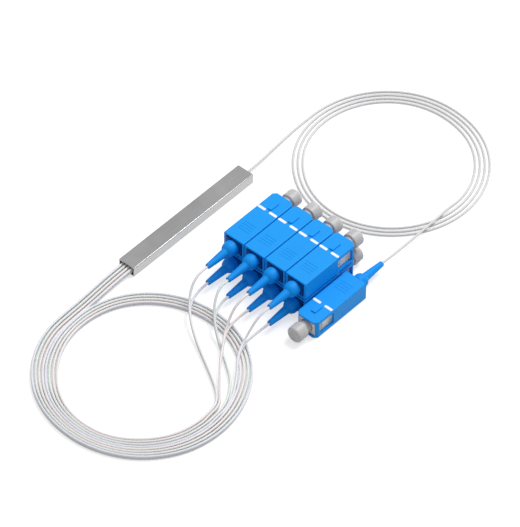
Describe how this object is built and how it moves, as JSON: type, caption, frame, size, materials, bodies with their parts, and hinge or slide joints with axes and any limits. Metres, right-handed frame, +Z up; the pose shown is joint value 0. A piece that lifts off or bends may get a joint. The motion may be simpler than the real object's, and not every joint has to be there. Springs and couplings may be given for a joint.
{
  "type": "plc fibre splitter",
  "caption": "Light splitter chip in a slim steel tube, with a coiled input fibre and a coiled bundle of output fibres that end in square push-pull plugs with dust caps.",
  "frame": {"origin": "middle of the steel tube's underside, on the surface that the part lies on", "axes": "+X along the steel tube from its output end to its input end, +Y across the tube away from the plugs, +Z up"},
  "size_m": [0.2044, 0.0783, 0.0159],
  "materials": {
    "steel": "satin drawn stainless steel tube",
    "silica": "polished silica glass",
    "sealant": "dark cured potting, dull",
    "output_jacket": "pale tinted smooth 0.9 mm jacket",
    "input_jacket": "white smooth 0.9 mm jacket",
    "boot_rubber": "soft satin moulded boot",
    "grip_plastic": "satin moulded blue plastic",
    "frame_plastic": "moulded off-white plastic",
    "rear_plastic": "moulded dark blue-grey plastic",
    "spring_steel": "drawn wire",
    "crimp_metal": "plated brass sleeve",
    "ceramic": "polished white ceramic; its flange is turned steel",
    "cap_plastic": "translucent grey moulded plastic"
  },
  "bodies": {
    "splitter": {"module_housing": "steel", "waveguide_chip": "silica", "chip_cover": "silica", "input_fibre_block": "silica", "output_fibre_block": "silica", "bare_fibres": "silica", "input_end_seal": "sealant", "output_end_seal": "sealant", "output_fibre_1": "output_jacket", "output_fibre_2": "output_jacket", "output_fibre_3": "output_jacket", "output_fibre_4": "output_jacket", "output_fibre_5": "output_jacket", "output_fibre_6": "output_jacket", "output_fibre_7": "output_jacket", "output_fibre_8": "output_jacket", "input_fibre": "input_jacket", "output_coil": "output_jacket", "input_coil": "input_jacket", "output_boot_1": "boot_rubber", "output_boot_2": "boot_rubber", "output_boot_3": "boot_rubber", "output_boot_4": "boot_rubber", "output_boot_5": "boot_rubber", "output_boot_6": "boot_rubber", "output_boot_7": "boot_rubber", "output_boot_8": "boot_rubber", "input_boot": "boot_rubber", "plug_frames": "frame_plastic", "rear_bodies": "rear_plastic", "springs": "spring_steel", "crimp_rings": "crimp_metal"},
    "output_1_grip_body": {"output_grip_1": "grip_plastic"},
    "output_1_ferrule_body": {"output_ferrule_1": "ceramic"},
    "output_1_cap_body": {"output_cap_1": "cap_plastic"},
    "output_2_grip_body": {"output_grip_2": "grip_plastic"},
    "output_2_ferrule_body": {"output_ferrule_2": "ceramic"},
    "output_2_cap_body": {"output_cap_2": "cap_plastic"},
    "output_3_grip_body": {"output_grip_3": "grip_plastic"},
    "output_3_ferrule_body": {"output_ferrule_3": "ceramic"},
    "output_3_cap_body": {"output_cap_3": "cap_plastic"},
    "output_4_grip_body": {"output_grip_4": "grip_plastic"},
    "output_4_ferrule_body": {"output_ferrule_4": "ceramic"},
    "output_4_cap_body": {"output_cap_4": "cap_plastic"},
    "output_5_grip_body": {"output_grip_5": "grip_plastic"},
    "output_5_ferrule_body": {"output_ferrule_5": "ceramic"},
    "output_5_cap_body": {"output_cap_5": "cap_plastic"},
    "output_6_grip_body": {"output_grip_6": "grip_plastic"},
    "output_6_ferrule_body": {"output_ferrule_6": "ceramic"},
    "output_6_cap_body": {"output_cap_6": "cap_plastic"},
    "output_7_grip_body": {"output_grip_7": "grip_plastic"},
    "output_7_ferrule_body": {"output_ferrule_7": "ceramic"},
    "output_7_cap_body": {"output_cap_7": "cap_plastic"},
    "output_8_grip_body": {"output_grip_8": "grip_plastic"},
    "output_8_ferrule_body": {"output_ferrule_8": "ceramic"},
    "output_8_cap_body": {"output_cap_8": "cap_plastic"},
    "input_grip_body": {"input_grip": "grip_plastic"},
    "input_ferrule_body": {"input_ferrule": "ceramic"},
    "input_cap_body": {"input_cap": "cap_plastic"}
  },
  "joints": [
    {"name": "output_1_grip_slide", "type": "slide", "parent": "splitter", "child": "output_1_grip_body", "axis": [1, 0, 0], "range_m": [-0.002, 0]},
    {"name": "output_1_ferrule_float", "type": "slide", "parent": "splitter", "child": "output_1_ferrule_body", "axis": [1, 0, 0], "range_m": [-0.001, 0], "stiffness_N_per_m": 1000, "deforming": ["springs"]},
    {"name": "output_1_cap_pull", "type": "slide", "parent": "output_1_ferrule_body", "child": "output_1_cap_body", "axis": [1, 0, 0], "range_m": [0, 0.006]},
    {"name": "output_2_grip_slide", "type": "slide", "parent": "splitter", "child": "output_2_grip_body", "axis": [1, 0, 0], "range_m": [-0.002, 0]},
    {"name": "output_2_ferrule_float", "type": "slide", "parent": "splitter", "child": "output_2_ferrule_body", "axis": [1, 0, 0], "range_m": [-0.001, 0], "stiffness_N_per_m": 1000, "deforming": ["springs"]},
    {"name": "output_2_cap_pull", "type": "slide", "parent": "output_2_ferrule_body", "child": "output_2_cap_body", "axis": [1, 0, 0], "range_m": [0, 0.006]},
    {"name": "output_3_grip_slide", "type": "slide", "parent": "splitter", "child": "output_3_grip_body", "axis": [1, 0, 0], "range_m": [-0.002, 0]},
    {"name": "output_3_ferrule_float", "type": "slide", "parent": "splitter", "child": "output_3_ferrule_body", "axis": [1, 0, 0], "range_m": [-0.001, 0], "stiffness_N_per_m": 1000, "deforming": ["springs"]},
    {"name": "output_3_cap_pull", "type": "slide", "parent": "output_3_ferrule_body", "child": "output_3_cap_body", "axis": [1, 0, 0], "range_m": [0, 0.006]},
    {"name": "output_4_grip_slide", "type": "slide", "parent": "splitter", "child": "output_4_grip_body", "axis": [1, 0, 0], "range_m": [-0.002, 0]},
    {"name": "output_4_ferrule_float", "type": "slide", "parent": "splitter", "child": "output_4_ferrule_body", "axis": [1, 0, 0], "range_m": [-0.001, 0], "stiffness_N_per_m": 1000, "deforming": ["springs"]},
    {"name": "output_4_cap_pull", "type": "slide", "parent": "output_4_ferrule_body", "child": "output_4_cap_body", "axis": [1, 0, 0], "range_m": [0, 0.006]},
    {"name": "output_5_grip_slide", "type": "slide", "parent": "splitter", "child": "output_5_grip_body", "axis": [1, 0, 0], "range_m": [-0.002, 0]},
    {"name": "output_5_ferrule_float", "type": "slide", "parent": "splitter", "child": "output_5_ferrule_body", "axis": [1, 0, 0], "range_m": [-0.001, 0], "stiffness_N_per_m": 1000, "deforming": ["springs"]},
    {"name": "output_5_cap_pull", "type": "slide", "parent": "output_5_ferrule_body", "child": "output_5_cap_body", "axis": [1, 0, 0], "range_m": [0, 0.006]},
    {"name": "output_6_grip_slide", "type": "slide", "parent": "splitter", "child": "output_6_grip_body", "axis": [1, 0, 0], "range_m": [-0.002, 0]},
    {"name": "output_6_ferrule_float", "type": "slide", "parent": "splitter", "child": "output_6_ferrule_body", "axis": [1, 0, 0], "range_m": [-0.001, 0], "stiffness_N_per_m": 1000, "deforming": ["springs"]},
    {"name": "output_6_cap_pull", "type": "slide", "parent": "output_6_ferrule_body", "child": "output_6_cap_body", "axis": [1, 0, 0], "range_m": [0, 0.006]},
    {"name": "output_7_grip_slide", "type": "slide", "parent": "splitter", "child": "output_7_grip_body", "axis": [1, 0, 0], "range_m": [-0.002, 0]},
    {"name": "output_7_ferrule_float", "type": "slide", "parent": "splitter", "child": "output_7_ferrule_body", "axis": [1, 0, 0], "range_m": [-0.001, 0], "stiffness_N_per_m": 1000, "deforming": ["springs"]},
    {"name": "output_7_cap_pull", "type": "slide", "parent": "output_7_ferrule_body", "child": "output_7_cap_body", "axis": [1, 0, 0], "range_m": [0, 0.006]},
    {"name": "output_8_grip_slide", "type": "slide", "parent": "splitter", "child": "output_8_grip_body", "axis": [1, 0, 0], "range_m": [-0.002, 0]},
    {"name": "output_8_ferrule_float", "type": "slide", "parent": "splitter", "child": "output_8_ferrule_body", "axis": [1, 0, 0], "range_m": [-0.001, 0], "stiffness_N_per_m": 1000, "deforming": ["springs"]},
    {"name": "output_8_cap_pull", "type": "slide", "parent": "output_8_ferrule_body", "child": "output_8_cap_body", "axis": [1, 0, 0], "range_m": [0, 0.006]},
    {"name": "input_grip_slide", "type": "slide", "parent": "splitter", "child": "input_grip_body", "axis": [-1, 0, 0], "range_m": [-0.002, 0]},
    {"name": "input_ferrule_float", "type": "slide", "parent": "splitter", "child": "input_ferrule_body", "axis": [-1, 0, 0], "range_m": [-0.001, 0], "stiffness_N_per_m": 1000, "deforming": ["springs"]},
    {"name": "input_cap_pull", "type": "slide", "parent": "input_ferrule_body", "child": "input_cap_body", "axis": [-1, 0, 0], "range_m": [0, 0.006]}
  ]
}
